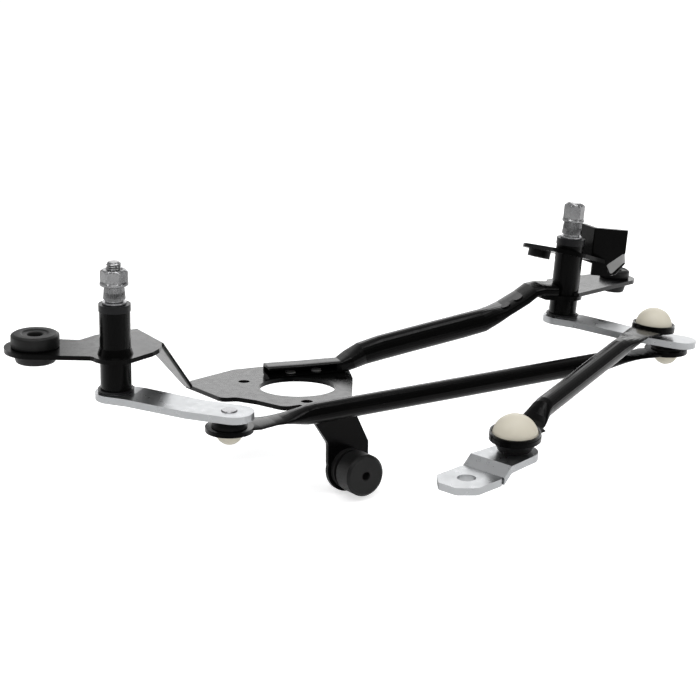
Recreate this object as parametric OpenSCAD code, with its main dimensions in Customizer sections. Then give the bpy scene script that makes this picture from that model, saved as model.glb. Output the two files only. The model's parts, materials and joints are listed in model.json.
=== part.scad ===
// Wiper linkage: a stamped and tubular frame with two wiper pivots, their levers,
// the link between them, the drive link and the loose motor crank.
// Millimetres. Origin at the centre of the motor pilot hole, on the plate's top face.
// +X runs from the left pivot to the right pivot, +Z along the left pivot's axis.

/* [Pivots] */
// Distance between the two pivot axes at lever height
pivot_span = 304.1; // [280:0.1:340]
// Left pivot axis, along X from the motor hole
left_pivot_x = -116.1; // [-130:0.1:-105]
// Pivot axes, along Y from the motor hole
pivot_y = -3.5; // [-8:0.5:2]
// Height of the levers' top faces above the motor plate
lever_top_z = 15; // [12:0.5:18]
// Lean of the right pivot from vertical
right_lean = 5.2; // [4:0.1:6.4]
// Heading of that lean, from +X
right_lean_heading = 0; // [-10:0.5:10]
// Outside diameter of a pivot tube
tube_od = 16.8; // [16:0.1:18]
// Diameter of the bush bores' housing in a pivot tube
tube_id = 13.2; // [12.6:0.1:13.6]
// Length of a pivot tube
tube_len = 43.3; // [40:0.1:46]
// Diameter of a pivot shaft
shaft_d = 10; // [9.2:0.1:10.6]
// Radial running clearance of a shaft in its bushes
shaft_clear = 0.05; // [0.02:0.01:0.09]
// Length of one bush
bush_len = 14; // [10:0.5:18]
// Space of the thrust washer on a lever, with its play
thrust_t = 0.7; // [0.5:0.1:1]
// Thickness of the wide seal washer under a tube
seal_t = 1.2; // [0.9:0.1:1.6]
// Height of the dark cap on top of a tube
cap_t = 3.9; // [3:0.1:4.6]
// Axial play of a shaft in its tube
end_play = 0.2; // [0.1:0.05:0.4]
// Thickness of a retaining ring
clip_t = 1.0; // [0.8:0.1:1.4]

/* [Wiper studs] */
// Length of the knurled cone that takes a wiper arm
knurl_len = 7.6; // [6:0.2:9]
// Diameter of the cone at its foot
knurl_d = 12.2; // [11.4:0.1:13]
// Thread diameter of a stud
thread_d = 8; // [7:0.5:9]
// Width across the flats of the left nut
nut_af = 13; // [12:0.5:14]
// Width across the flats of the right nut
right_nut_af = 11; // [10.4:0.1:12]
// Height of the left nut with its collar
left_nut_h = 8.7; // [8:0.1:9.6]
// Height of the right nut with its collar
right_nut_h = 11; // [10:0.1:12]
// Collar thickness of a nut
nut_collar = 2.4; // [2:0.1:3]
// Thread standing out of the left nut
left_thread_tip = 4.2; // [3:0.1:6]
// Thread standing out of the right nut
right_thread_tip = 0.3; // [0.2:0.1:1]

/* [Levers] */
// Centre distance of a lever, pivot to link ball
lever_len = 67; // [62:0.5:72]
// Width of a lever round its pivot
lever_w = 22.8; // [22:0.2:24]
// Width of a lever at its ball end
lever_tip_w = 21.2; // [20:0.2:22.4]
// Thickness of a lever
lever_t = 4; // [3.4:0.1:4.6]
// Rise of a lever's root above its ball end
lever_rise = 2.2; // [1.6:0.1:2.6]
// Metal past the link ball at the left lever's end
left_lever_end = 13.2; // [12.4:0.1:14.4]
// Metal past the link ball at the right lever's end
right_lever_end = 17.2; // [16:0.1:18]
// Heading of both levers at rest, from +X
lever_heading = -53.4; // [-56:0.2:-50]
// Distance of the drive ball inboard of the right link ball
drive_ball_inset = 9.5; // [8.6:0.1:10.5]

/* [Ball joints] */
// Diameter of a ball
ball_d = 10.4; // [10:0.1:10.8]
// Radial clearance of a ball in its socket
ball_clear = 0.15; // [0.1:0.05:0.3]
// Wider clearance in the left socket, where the linkage loop is opened
open_clear = 0.4; // [0.3:0.05:0.5]
// Distance from the left lever's lower face to its ball centre
left_ball_rise = 7.8; // [7:0.1:8.6]
// Distance from the right lever's lower face to its link ball centre
right_ball_rise = 5.8; // [5.6:0.1:6.4]
// Distance from the right lever's top face to its drive ball centre
drive_ball_rise = 7; // [6.8:0.1:7.6]
// Distance from the crank's top face to its ball centre
crank_ball_rise = 10.8; // [10:0.1:11.6]
// Diameter of a stud's neck
neck_d = 6; // [5.4:0.1:6.4]
// Thickness of a stud's collar
stud_collar = 0.9; // [0.7:0.1:1.1]
// Diameter of a stud's collar
stud_collar_d = 9.2; // [8.6:0.1:9.4]
// Diameter of a stud's riveted end
stud_head_d = 9; // [8:0.2:10]
// Height of a stud's riveted end
stud_head_h = 0.6; // [0.4:0.1:1]
// Diameter of the domes on the drive link's lever end
dome_d = 22.4; // [21.4:0.2:23.4]
// Height of a drive link dome above its ball centre
dome_h = 9.6; // [9:0.1:10.4]
// Diameter of the dome at the crank end, which carries the motor's load
crank_dome_d = 25; // [24:0.2:26]
// Diameter of the small domes on the connecting link
small_dome_d = 15.2; // [14.6:0.2:16]

/* [Links] */
// Outside diameter of both link tubes
link_od = 11.5; // [10.5:0.1:12]
// Wall of the link tubes
link_wall = 1.2; // [0.8:0.1:1.5]
// Thickness of a flattened link end
eye_t = 2.6; // [2.2:0.1:3]
// Outside diameter of a flattened link end
eye_d = 26; // [25.2:0.2:27]
// Outside diameter of the crank end of the drive link
crank_eye_d = 28; // [27.4:0.2:29]
// Centre distance of the drive link
drive_len = 195; // [185:1:205]
// Heading of the drive link at rest, from +X
drive_heading = -152.2; // [-156:0.1:-149]
// Drop of the drive link from the lever to the crank
drive_drop = 12.6; // [11:0.1:14]

/* [Motor crank] */
// Throw of the crank, ball to motor shaft
crank_throw = 39.4; // [37:0.2:42]
// Width of the crank
crank_w = 28; // [26:0.5:30]
// Thickness of the crank
crank_t = 4; // [3.4:0.2:4.6]
// Step down of the motor end
crank_step = 5; // [4:0.2:6]
// Heading of the crank at rest, from +X
crank_heading = -165.5; // [-170:0.5:-160]
// Diameter of the motor shaft hole
crank_bore = 10; // [9:0.2:11]

/* [Main bracket] */
// Sheet thickness of the stampings
sheet = 2.5; // [2:0.1:3]
// Height of the left plate's top above the lever's top
left_plate_h = 23.4; // [22:0.2:25]
// Tilt of the motor plate, front edge up
plate_tilt = 3.5; // [2:0.1:5]
// Heading of the axis that the motor plate tilts about, from +X
tilt_heading = -32.5; // [-40:0.5:-25]
// Diameter of the motor pilot hole
pilot_d = 44; // [40:0.5:46]
// Pitch circle of the motor bolts
bolt_pcd = 66; // [63:0.5:69]
// Diameter of the motor bolt holes
bolt_d = 6.6; // [6:0.1:7]
// Heading of the first motor bolt, from +X
bolt_heading = 8.5; // [5:0.5:12]
// Front face of the leg, along Y from the motor hole
leg_front_y = -37.4; // [-39:0.2:-36]
// Drop of the leg's grommet below the plate
leg_drop = 40.4; // [38:0.2:43]
// Sideways place of the leg's grommet
leg_x = 11.5; // [10:0.1:13]

/* [Grommets] */
// Outside diameter of an ear grommet
grommet_d = 26.5; // [25:0.5:28]
// Bore of an ear grommet
grommet_bore = 8.4; // [7.6:0.2:9]
// Diameter of an ear grommet's neck, in the sheet
grommet_neck = 17; // [15:0.5:19]
// Height of a grommet above the sheet
grommet_up = 7.6; // [7:0.2:8.4]
// Height of a grommet below the sheet
grommet_down = 6; // [5:0.2:7]
// Outside diameter of the leg grommet
leg_grommet_d = 24; // [22.6:0.2:25.4]
// Length of the leg grommet in front of the leg
leg_grommet_len = 19; // [17:0.5:20.5]
// Bore of the leg grommet
leg_grommet_bore = 5; // [4.4:0.2:6]

/* [Right brackets] */
// Height of the lower bracket's top above the lever's top
lower_plate_h = 16.5; // [15.5:0.1:17.5]
// Step up from there to the lower bracket's ear
ear_step = 2.1; // [1.6:0.1:2.4]
// Height of the upright tab's foot above the lever's top
upper_plate_h = 38; // [37:0.2:39]
// Height of the upper ear plate at the pivot axis
ear_plate_h = 42.8; // [42:0.1:44]
// Tilt of the upper ear plate, front edge up
ear_plate_tilt = 11.8; // [10:0.2:14]
// Slope of the upper ear plate down to the right
ear_plate_roll = 7.6; // [6:0.2:9]
// Height of the upright tab above the upper bracket
tab_h = 19.6; // [18:0.2:21]

/* [Frame tube] */
// Diameter of the frame tube
frame_od = 14.8; // [13.8:0.2:15.6]
// Wall of the frame tube
frame_wall = 1.8; // [1.4:0.1:2.2]

/* [Hidden] */
$fn = 72;

black = [0.09, 0.09, 0.1];
rubber = [0.16, 0.16, 0.16];
zinc = [0.78, 0.8, 0.82];
steel = [0.62, 0.63, 0.65];
bronze = [0.55, 0.42, 0.25];
cream = [0.86, 0.84, 0.77];
eps = 0.01;

// Heights along a pivot, from the lever's top face
tube_foot = lever_rise + thrust_t + seal_t;
tube_top = tube_foot + tube_len;
cap_top = tube_top + cap_t;
clip_foot = cap_top + end_play;
knurl_foot = clip_foot + clip_t + 1.4;
knurl_top = knurl_foot + knurl_len;
spigot_d = shaft_d - 2;
clip_groove = 0.8;
cap_wall = 0.5;
cap_d = tube_od + 0.6;
seal_d = tube_od + 2.8;
thrust_d = tube_od + 1;
foot_rivet = 1.5;

// Directions and rotations worked out as vectors
right_pivot = [left_pivot_x + pivot_span, pivot_y, lever_top_z];
left_pivot = [left_pivot_x, pivot_y, lever_top_z];
lean_axis = [-sin(right_lean_heading), cos(right_lean_heading), 0];
function turn(v, axis, angle) = v * cos(angle) + cross(axis, v) * sin(angle)
    + axis * (axis * v) * (1 - cos(angle));
function lean(v) = turn(v, lean_axis, right_lean);
lever_dir = [cos(lever_heading), sin(lever_heading), 0];
right_up = lean([0, 0, 1]);
left_ball_at = left_pivot + lever_dir * lever_len - [0, 0, lever_t + left_ball_rise];
right_ball_at = right_pivot + lean(lever_dir * lever_len - [0, 0, lever_t + right_ball_rise]);
drive_ball_at = right_pivot
    + lean(lever_dir * (lever_len - drive_ball_inset) + [0, 0, drive_ball_rise]);
drive_run = sqrt(drive_len * drive_len - drive_drop * drive_drop);
crank_ball_at = drive_ball_at
    + [drive_run * cos(drive_heading), drive_run * sin(drive_heading), -drive_drop];
crank_top_z = -crank_ball_rise;

// Places in the two pivots' frames
module at_left() translate(left_pivot) children();
module at_right() translate(right_pivot) rotate(right_lean, lean_axis) children();
module at_side(side) {
    if (side == "left") at_left() children();
    else at_right() children();
}
module at_plate() rotate(-plate_tilt, [cos(tilt_heading), sin(tilt_heading), 0]) children();

// A frame with its X axis from one point to another and its Z axis upwards
module along(start, finish) {
    run = finish - start;
    translate(start)
        rotate([0, -atan2(run[2], norm([run[0], run[1]])), atan2(run[1], run[0])])
            children();
}

// An outline whose corners are rounded by arcs
function unit(v) = v / norm(v);
function corner_arc(before, at, after, r, steps = 6) =
    let (a = unit(before - at), b = unit(after - at))
    let (half = acos(max(-1, min(1, a * b))) / 2)
    let (reach = min(r / tan(half), norm(before - at) * 0.45, norm(after - at) * 0.45))
    let (radius = reach * tan(half), centre = at + unit(a + b) * radius / sin(half))
    let (from = at + a * reach - centre, sweep = 180 - 2 * half)
    let (way = (from[0] * (b - a)[1] - from[1] * (b - a)[0]) > 0 ? 1 : -1)
    [for (i = [0 : steps]) let (t = way * sweep * i / steps)
        centre + [from[0] * cos(t) - from[1] * sin(t), from[0] * sin(t) + from[1] * cos(t)]];
function rounded(points, r) = let (n = len(points))
    [for (i = [0 : n - 1])
        each corner_arc(points[(i + n - 1) % n], points[i], points[(i + 1) % n], r)];

// A closed skin through rings of equally many points
module skin(rings) {
    n = len(rings[0]);
    m = len(rings);
    polyhedron(
        points = [for (ring = rings) each ring],
        faces = concat(
            [[for (i = [n - 1 : -1 : 0]) i]],
            [for (j = [0 : m - 2]) for (i = [0 : n - 1])
                [j * n + i, j * n + (i + 1) % n, (j + 1) * n + (i + 1) % n, (j + 1) * n + i]],
            [[for (i = [0 : n - 1]) (m - 1) * n + i]]));
}

// A tube section across X, at distance x and height z, leaning by slope.
// Roundness 1 is an ellipse, and smaller values are squarer
ring_sides = 28;
function bulge(v, roundness) = sign(v) * pow(abs(v), roundness);
function flat_ring(x, z, half_w, half_h, slope = 0, roundness = 1) =
    [for (i = [0 : ring_sides - 1]) let (t = 360 * (i + 0.5) / ring_sides)
        let (up = half_h * bulge(sin(t), roundness))
        [x - up * sin(slope), -half_w * bulge(cos(t), roundness), z + up * cos(slope)]];
function ease(t) = t * t * (3 - 2 * t);

// Main stamping: left ear and pivot plate, slope, motor plate and front leg
ear_r = 17;
left_ear = [-31.7, 33.8];
bend_x = 31;
bend_front_y = 6;
bend_back_y = 37.5;
left_plate_top = lever_top_z + left_plate_h;
neck_front = [-51, 33.6];
neck_back = [-51, 41];
plate_outline = [neck_front - [1, 0], [-50, -1], [-42, -3.5], [-35.5, -15], [-29, leg_front_y + sheet],
    [15, leg_front_y + sheet], [39, 2], [51, 27], [46, 40], [5, 52.4], [-12, 54], [-43.5, 43.5],
    neck_back - [1, 0]];
leg_outline = [[-19, 1], [11.3, 1], [leg_x + 13.4, 14 - leg_drop], [leg_x + 13.4, -leg_drop],
    [leg_x - 13.4, -leg_drop], [leg_x - 13.4, 16 - leg_drop]];
leg_end_r = 13.5;
leg_hole_d = leg_grommet_d - 8;

module left_plate_shape() {
    back = left_ear + ear_r * [cos(80), sin(80)];
    front = left_ear + ear_r * [cos(232), sin(232)];
    difference() {
        union() {
            translate(left_ear) circle(ear_r);
            circle(13.2);
            polygon([back, [-6, 33], [6, bend_back_y], [bend_x, bend_back_y], [bend_x, bend_front_y],
                [28.6, 1.6], [24.6, -3.4], [18.6, -7.6], [4, -12.6], [-9, -9.6], [-14, 2], front]);
        }
        translate(left_ear) circle(d = grommet_neck);
        circle(d = tube_od);
    }
}

module slope_strip() hull() {
    for (y = [bend_front_y, bend_back_y])
        translate([left_pivot_x + bend_x, pivot_y + y, left_plate_top - sheet / 2])
            sphere(d = sheet, $fn = 16);
    at_plate() for (corner = [neck_front, neck_back])
        translate([corner[0], corner[1], -sheet / 2]) sphere(d = sheet, $fn = 16);
}

module main_bracket() color(black) {
    translate([left_pivot_x, pivot_y, left_plate_top - sheet])
        linear_extrude(sheet) left_plate_shape();
    slope_strip();
    at_plate() {
        translate([0, 0, -sheet]) linear_extrude(sheet) difference() {
            polygon(rounded(plate_outline, 6));
            circle(d = pilot_d);
            for (i = [0 : 2]) rotate(bolt_heading + 120 * i)
                translate([bolt_pcd / 2, 0]) circle(d = bolt_d);
        }
        translate([0, leg_front_y + sheet, 0]) rotate([90, 0, 0]) linear_extrude(sheet)
            difference() {
                union() {
                    polygon(rounded(leg_outline, 5));
                    translate([leg_x, -leg_drop]) circle(leg_end_r);
                    translate([-19, -sheet]) square([30.3, sheet]);
                }
                translate([leg_x, -leg_drop]) circle(d = leg_hole_d);
                translate([-40, 0]) square([80, 10]);
            }
    }
}

// Frame tube: flat on the motor plate, round in the middle, flat on the right bracket
frame_start = [0, 36];
frame_finish = [right_pivot[0], right_pivot[1]];
frame_heading = atan2(frame_finish[1] - frame_start[1], frame_finish[0] - frame_start[0]);
frame_run = norm(frame_finish - frame_start);
flat_h = 7.5;
flat_w = 12;
flat_shift = -6.5;
slot_h = 4.5;
right_flat_h = 6.6;
plate_bite = 0.4;
right_flat_w = 20;
frame_foot_z = flat_h / 2 - 1.8;
frame_dir = [cos(frame_heading), sin(frame_heading), 0];
right_slope = -atan(right_up * frame_dir / right_up[2]);
// Height of the lower right bracket's top at a distance along the frame tube
function bracket_z(x) = lever_top_z
    + (lower_plate_h - (x - frame_run) * (right_up * frame_dir)) / right_up[2];
function right_z(x) = bracket_z(x) + right_flat_h / 2 - plate_bite;
frame_r = frame_od / 2;
frame_end = frame_run - tube_od / 2 + 1;
climb = 27;
climb_from = frame_run - 40;
climb_z = 25;
level_from = frame_run - 17;
// Stations: distance, shift to the side, height, half width, half height, slope, roundness
frame_stations = [
    [-2, flat_shift, frame_foot_z, flat_w / 2, flat_h / 2, 0, 0.4],
    [20, flat_shift, frame_foot_z - 0.5, flat_w / 2, flat_h / 2, 0, 0.4],
    [43, flat_shift, frame_foot_z - 0.7, flat_w / 2, flat_h / 2, 4, 0.4],
    [51, flat_shift / 2, frame_foot_z + 1, frame_r + 1, 5, 20, 0.7],
    [60, 0, 5, frame_r, frame_r - 0.6, 18, 0.9],
    [72, 0, 7.6, frame_r, frame_r, 11, 1],
    [98, 0, 12, frame_r, frame_r, 9, 1],
    [frame_run - 68, 0, 16.3, frame_r, frame_r, 9, 1],
    [frame_run - 54, 0, 18.8, frame_r, frame_r - 0.4, 14, 0.9],
    [frame_run - 47, 0, 21.6, frame_r + 0.6, 5.4, 24, 0.7],
    [climb_from, 0, climb_z, right_flat_w / 2, right_flat_h / 2, climb, 0.6],
    [climb_from + 12, 0, climb_z + 6.2, right_flat_w / 2, right_flat_h / 2, climb, 0.6],
    [level_from - 5, 0, right_z(level_from - 5) - 1.2, right_flat_w / 2, right_flat_h / 2, 12, 0.6],
    [level_from, 0, right_z(level_from), right_flat_w / 2, right_flat_h / 2, right_slope, 0.6],
    [frame_end, 0, right_z(frame_end), right_flat_w / 2, right_flat_h / 2, right_slope, 0.6]];
function frame_skin(thin) = [for (s = frame_stations)
    [for (p = flat_ring(s[0] - thin / 9, s[2], s[3] - thin, s[4] - thin, s[5], s[6])) p + [0, s[1], 0]]];

module at_frame() translate([frame_start[0], frame_start[1], 0]) rotate(frame_heading) children();

// The frame tube is pressed flat and slit along its front over the motor plate.
// It sits on the plates, which cut its underside, and on the rivets' pockets
module frame_tube() color(black) difference() {
    at_frame() difference() {
        skin(frame_skin(0));
        skin(frame_skin(frame_wall));
        translate([-10, flat_shift - flat_w, frame_foot_z - slot_h / 2 - 0.3])
            cube([50, flat_w * 0.75, slot_h]);
    }
    at_right() cylinder(d = tube_od, h = 2 * upper_plate_h);
    at_right() translate([-18.5, -40, lower_plate_h - sheet]) cube([40, 80, sheet]);
    at_plate() translate([-20, 0, -sheet]) cube([90, 60, sheet]);
    left_tube_rivets();
    right_tube_rivets();
}

rivet_d = 6;
rivet_h = 0.9;
rivet_bite = 0.3;
module left_tube_rivets() color(steel) at_frame() for (x = [13, 29])
    translate([x, flat_shift, frame_foot_z - 0.5 - flat_h / 2 + frame_wall - rivet_bite])
        cylinder(d = rivet_d, h = rivet_h);

module right_tube_rivets() color(steel) at_frame() for (up = [1, 10])
    translate([climb_from, 0, climb_z]) rotate([0, -climb, 0])
        translate([up, -right_flat_w / 4, right_flat_h / 2 - rivet_bite]) cylinder(d = rivet_d, h = rivet_h);

// Right brackets, in the right pivot's frame
right_ear = [61.5, 26.5];
right_ear_r = 13;
upper_ear = [0.3, 27.9];
upper_ear_r = 11;
tab_foot = [[18, 11.4], [17.2, -2], [34.2, -12.2]];
apron_low_h = 28;
apron_out = 4.5;
right_neck = 13;
right_grommet_d = 18.6;
right_grommet_up = 5.5;
right_grommet_down = 6.7;

ear_h = lower_plate_h + ear_step;
step_wall = [[0, -9.4], [3.4, -10], [3.4, 23.3], [0, 21]];
module right_lower_bracket() color(black) at_right() difference() {
    union() {
        translate([0, 0, lower_plate_h - sheet]) linear_extrude(sheet) {
            circle(10.8);
            polygon([[-18, -5], [-6, -8.6], step_wall[0], step_wall[3], [-6, 16], [-18, 11]]);
        }
        translate([0, 0, lower_plate_h - sheet]) linear_extrude(ear_step + sheet) polygon(step_wall);
        translate([0, 0, ear_h - sheet]) linear_extrude(sheet) {
            translate(right_ear) circle(right_ear_r);
            polygon([step_wall[1], right_ear + [5.2, -11.9], right_ear + [-8, 10.2], [8, 28], step_wall[2]]);
        }
    }
    cylinder(d = tube_od, h = upper_plate_h);
    translate([right_ear[0], right_ear[1], 0]) cylinder(d = right_neck, h = upper_plate_h);
}

// The upright tab from above: two walls with a round fold between them
module tab_walls() {
    for (i = [0, 1]) let (run = tab_foot[i + 1] - tab_foot[i])
        translate(tab_foot[i]) rotate(atan2(run[1], run[0]))
            translate([0, -sheet / 2]) square([norm(run), sheet]);
    translate(tab_foot[1]) circle(d = sheet);
}

// A frame in the tab's front wall: X along the wall from its fold, Z up
tab_run = tab_foot[2] - tab_foot[1];
tab_wide = norm(tab_run);
module at_tab() translate([tab_foot[1][0], tab_foot[1][1], 0])
    rotate(atan2(tab_run[1], tab_run[0])) children();

// The tab's lower end: a wall under its left half and a lip that flares forwards on its right
lip_from = tab_wide / 2;
lip_to = tab_wide - sheet / 2;
lip_fold_h = [34.9, 42.2];
module tab_apron() at_tab() {
    fold = [[lip_from, 0, lip_fold_h[0]], [lip_to, 0, lip_fold_h[1]]];
    lip = [[0.61 * tab_wide, -apron_out, 30.6], [0.71 * tab_wide, -apron_out, 31.3],
        [lip_to, -apron_out, 37.8]];
    translate([0, sheet / 2, 0]) rotate([90, 0, 0]) linear_extrude(sheet)
        polygon([[0, apron_low_h], [lip_from, apron_low_h], [lip_from, upper_plate_h], [0, upper_plate_h]]);
    hull() for (at = concat(fold, lip)) translate(at) sphere(d = sheet, $fn = 12);
}

// What the lip's fold cuts from the tab's lower right corner
module tab_corner() at_tab() translate([0, sheet, 0]) rotate([90, 0, 0]) linear_extrude(2 * sheet)
    polygon([[lip_from, apron_low_h], [2 * tab_wide, apron_low_h],
        [lip_to, lip_fold_h[1]] + tab_wide * unit([lip_to - lip_from, lip_fold_h[1] - lip_fold_h[0]]),
        [lip_from, lip_fold_h[0]]]);

ear_hole_d = 8;
pad_d = 14;
pad_h = 4.4;
module at_ear_plate() translate([0, 0, ear_plate_h])
    rotate(ear_plate_roll, [-sin(tilt_heading), cos(tilt_heading), 0])
        rotate(-ear_plate_tilt, [cos(tilt_heading), sin(tilt_heading), 0]) children();
module right_upper_bracket() color(black) at_right() {
    difference() {
        at_ear_plate() translate([0, 0, -sheet]) linear_extrude(sheet) difference() {
            union() {
                circle(13);
                translate(upper_ear) circle(upper_ear_r);
                polygon([[-12, 26], [-12.8, -2], [2, -13], (tab_foot[1] + tab_foot[2]) / 2,
                    tab_foot[1] + [3, 3], tab_foot[0] + [2, 2], [10, 29]]);
            }
            translate(upper_ear) circle(d = ear_hole_d);
        }
        cylinder(d = tube_od, h = 2 * ear_plate_h);
    }
    difference() {
        translate([0, 0, upper_plate_h - sheet]) linear_extrude(tab_h + sheet) tab_walls();
        tab_corner();
    }
    tab_apron();
}

module upper_ear_pad() color(rubber) at_right() at_ear_plate()
    translate([upper_ear[0], upper_ear[1], -sheet - pad_h]) difference() {
        cylinder(d = pad_d, h = pad_h);
        translate([0, 0, -eps]) cylinder(d = ear_hole_d, h = pad_h + 2 * eps);
    }

// Pivot pieces, one set on each side
weld_rise = 4;
weld_out = 1.3;
module pivot_tube(side) color(black) at_side(side) difference() {
    union() {
        translate([0, 0, tube_foot]) cylinder(d = tube_od, h = tube_len);
        if (side == "left") translate([0, 0, left_plate_h])
            cylinder(d1 = tube_od + 2 * weld_out, d2 = tube_od, h = weld_rise);
    }
    translate([0, 0, tube_foot - eps]) cylinder(d = tube_id, h = tube_len + 2 * eps);
}
module left_pivot_tube() pivot_tube("left");
module right_pivot_tube() pivot_tube("right");

module bush(side, foot) color(bronze) at_side(side) translate([0, 0, foot]) difference() {
    cylinder(d = tube_id, h = bush_len);
    translate([0, 0, -eps]) cylinder(d = shaft_d + 2 * shaft_clear, h = bush_len + 2 * eps);
}
module left_lower_bush() bush("left", tube_foot);
module right_lower_bush() bush("right", tube_foot);
module left_upper_bush() bush("left", tube_top - bush_len);
module right_upper_bush() bush("right", tube_top - bush_len);

module washer(side, foot, d, h, paint) color(paint) at_side(side) translate([0, 0, foot])
    difference() {
        cylinder(d = d, h = h);
        translate([0, 0, -eps]) cylinder(d = shaft_d + 2 * cap_wall, h = h + 2 * eps);
    }
module left_tube_cap() washer("left", tube_top, cap_d, cap_t, rubber);
module right_tube_cap() washer("right", tube_top, cap_d, cap_t, rubber);
module left_seal_washer() washer("left", lever_rise + thrust_t, seal_d, seal_t, rubber);
module right_seal_washer() washer("right", lever_rise + thrust_t, seal_d, seal_t, rubber);
module left_thrust_washer() washer("left", lever_rise + end_play, thrust_d, thrust_t - end_play, steel);
module right_thrust_washer() washer("right", lever_rise + end_play, thrust_d, thrust_t - end_play, steel);

function nut_top(side) = knurl_top + (side == "left" ? left_nut_h : right_nut_h);
module pivot_shaft(side, tip) color(zinc) at_side(side) difference() {
    union() {
        translate([0, 0, lever_rise - lever_t]) cylinder(d = spigot_d, h = lever_t + eps);
        translate([0, 0, lever_rise - lever_t - foot_rivet])
            cylinder(d1 = spigot_d, d2 = spigot_d + 2, h = foot_rivet);
        translate([0, 0, lever_rise]) cylinder(d = shaft_d, h = knurl_foot - lever_rise);
        translate([0, 0, knurl_foot]) cylinder(d1 = knurl_d, d2 = knurl_d - 1.4, h = knurl_len);
        translate([0, 0, lever_rise]) cylinder(d = thread_d, h = nut_top(side) + tip - lever_rise);
    }
    translate([0, 0, clip_foot]) difference() {
        cylinder(d = shaft_d + 1, h = clip_t);
        translate([0, 0, -eps]) cylinder(d = shaft_d - 2 * clip_groove, h = clip_t + 2 * eps);
    }
}
module left_shaft() pivot_shaft("left", left_thread_tip);
module right_shaft() pivot_shaft("right", right_thread_tip);

module retaining_ring(side) color(zinc) at_side(side) translate([0, 0, clip_foot]) difference() {
    cylinder(d = shaft_d + 3, h = clip_t);
    translate([0, 0, -eps]) cylinder(d = shaft_d - 2 * clip_groove, h = clip_t + 2 * eps);
}
module left_retaining_ring() retaining_ring("left");
module right_retaining_ring() retaining_ring("right");

nut_turn = 27.5;
nut_rim = 2.4;
module nut(side) color(zinc) at_side(side) translate([0, 0, knurl_top]) difference() {
    high = nut_top(side) - knurl_top;
    flats = side == "left" ? nut_af : right_nut_af;
    union() {
        cylinder(d = flats + nut_rim, h = nut_collar);
        rotate(nut_turn) cylinder(d = flats / cos(30), h = high, $fn = 6);
    }
    translate([0, 0, -eps]) cylinder(d = thread_d, h = high + 2 * eps);
}
module left_nut() nut("left");
module right_nut() nut("right");

module lever_shape(end, holes) difference() {
    root = lever_w / 2;
    half = lever_tip_w / 2;
    tip = lever_len + end;
    union() {
        circle(root);
        polygon(rounded([[0, -root], [tip, -half], [tip, half], [0, root]], 9.5));
        polygon([[0, -root], [lever_len / 2, -(root + half) / 2], [lever_len / 2, (root + half) / 2],
            [0, root]]);
    }
    circle(d = spigot_d);
    for (x = holes) translate([x, 0]) circle(d = neck_d);
}
// A lever's side view: its root is level, then it slopes down to the level ball end
lever_level_from = 46;
module lever(side, end, holes) color(zinc) at_side(side) rotate(lever_heading) intersection() {
    root = lever_w / 2;
    far = lever_len + end + 1;
    translate([0, 0, -lever_t]) linear_extrude(lever_t + lever_rise) lever_shape(end, holes);
    translate([0, lever_w, 0]) rotate([90, 0, 0]) linear_extrude(2 * lever_w)
        polygon([[-lever_w, lever_rise], [root, lever_rise], [lever_level_from, 0], [far, 0],
            [far, -lever_t], [lever_level_from, -lever_t], [root, lever_rise - lever_t],
            [-lever_w, lever_rise - lever_t]]);
}
module left_lever() lever("left", left_lever_end, [lever_len]);
module right_lever()
    lever("right", right_lever_end, [lever_len, lever_len - drive_ball_inset]);

// A ball stud standing on a face at z = 0, its shank through a plate below
module ball_stud(rise, plate_t, head) color(steel) {
    translate([0, 0, -plate_t]) cylinder(d = neck_d, h = plate_t + eps);
    if (head > 0)
        translate([0, 0, -plate_t - stud_head_h]) cylinder(d1 = head - 1, d2 = head, h = stud_head_h);
    cylinder(d = stud_collar_d, h = stud_collar);
    cylinder(d = neck_d, h = rise);
    translate([0, 0, rise]) sphere(d = ball_d);
}
module under_lever(side) at_side(side) rotate(lever_heading)
    translate([lever_len, 0, -lever_t]) mirror([0, 0, 1]) children();
module left_ball_stud() under_lever("left") ball_stud(left_ball_rise, lever_t, stud_head_d);
module right_link_ball_stud() under_lever("right") ball_stud(right_ball_rise, lever_t, 0);
module right_drive_ball_stud() at_right() rotate(lever_heading)
    translate([lever_len - drive_ball_inset, 0, 0]) ball_stud(drive_ball_rise, lever_t, 0);

// Joint heights from a ball's centre, towards its dome: the outer faces of the links' eyes
small_eye_top = -0.6;
drive_eye_top = -1.4;
small_hole_d = 14;
drive_hole_d = 16;
socket_lip = 0.6;
mouth_d = 8.4;
mouth_top = -3.2;
boot_t = 1.3;
boot_gap = 0.8;
boot_r = 9.6;
boot_foot_r = 5.2;
crank_boot_r = 12;
crank_boot_foot_r = 8;

// A point of an eye's middle plane, at a distance from the ball's axis
function on_eye(far, mid, tilt) = [far * cos(tilt) - mid * sin(tilt), far * sin(tilt) + mid * cos(tilt)];

// Sections of a link's end: distance, height, half width, half height and slope.
// The end is flat and parallel to its lever, then swells into the tube
neck_len = 28;
function end_stations(eye, mid, tilt, flat_len, neck, tube_z) =
    let (r = link_od / 2, half = eye_t / 2, tongue_w = eye / 2 - 3)
    let (first = on_eye(eye / 2 - 4, mid, tilt), rim = on_eye(eye / 2 + 1, mid, tilt))
    let (last = on_eye(flat_len, mid, tilt))
    concat(
        [[first[0], first[1], tongue_w - 1.3, half - 0.15, tilt], [rim[0], rim[1], tongue_w, half, tilt],
            [last[0], last[1], (tongue_w + r) / 2, half, tilt]],
        [for (t = [0.2 : 0.2 : 1]) let (e = ease(t))
            [last[0] + t * neck, last[1] + e * (tube_z - last[1]),
                (tongue_w + r) / 2 * (1 - e) + r * e, half * (1 - e) + r * e, tilt * (1 - e)]]);
function backwards(list) = [for (i = [len(list) - 1 : -1 : 0]) list[i]];

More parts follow.
